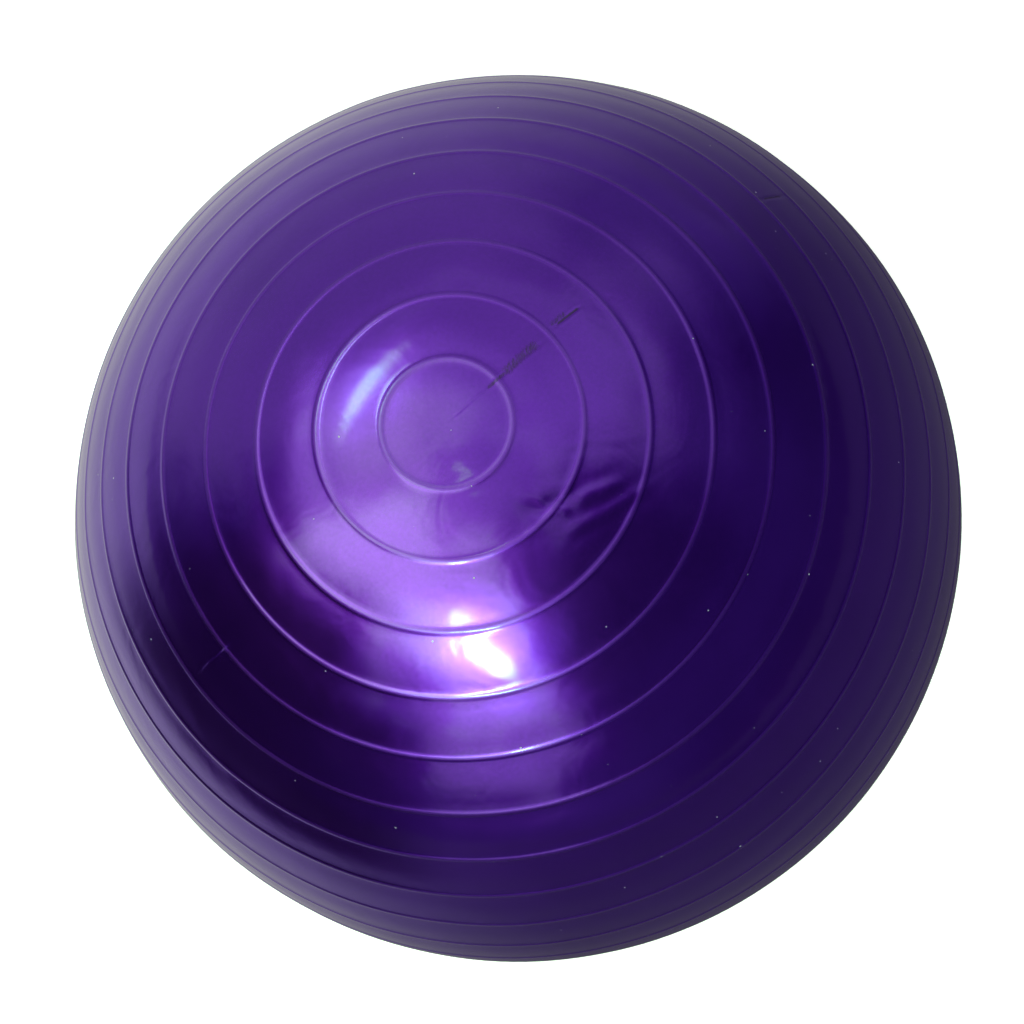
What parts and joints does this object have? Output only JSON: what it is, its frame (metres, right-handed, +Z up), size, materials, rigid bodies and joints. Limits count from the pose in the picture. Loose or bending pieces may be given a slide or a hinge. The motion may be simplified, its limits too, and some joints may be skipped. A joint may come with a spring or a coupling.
{
  "type": "exercise ball",
  "caption": "Inflatable exercise ball with raised rings round its axis, a valve seat in the plain middle band and a push-in valve plug.",
  "frame": {"origin": "centre of the flat patch that the ball stands on, at the bottom of its bounding box", "axes": "+Z up along the axis that the rings go round; the valve looks towards -Y, 5.8 degrees above level"},
  "size_m": [0.65, 0.65, 0.6482],
  "materials": {
    "purple_pvc": "gloss",
    "soft_purple_pvc": "satin",
    "white_polythene": "satin"
  },
  "bodies": {
    "ball": {"ball_shell": "purple_pvc", "valve_seat": "soft_purple_pvc"},
    "plug": {"valve_plug": "white_polythene"}
  },
  "joints": [
    {"name": "plug_pull", "type": "slide", "parent": "ball", "child": "plug", "axis": [0, -0.9949, 0.1011], "range_m": [0, 0.035]}
  ]
}
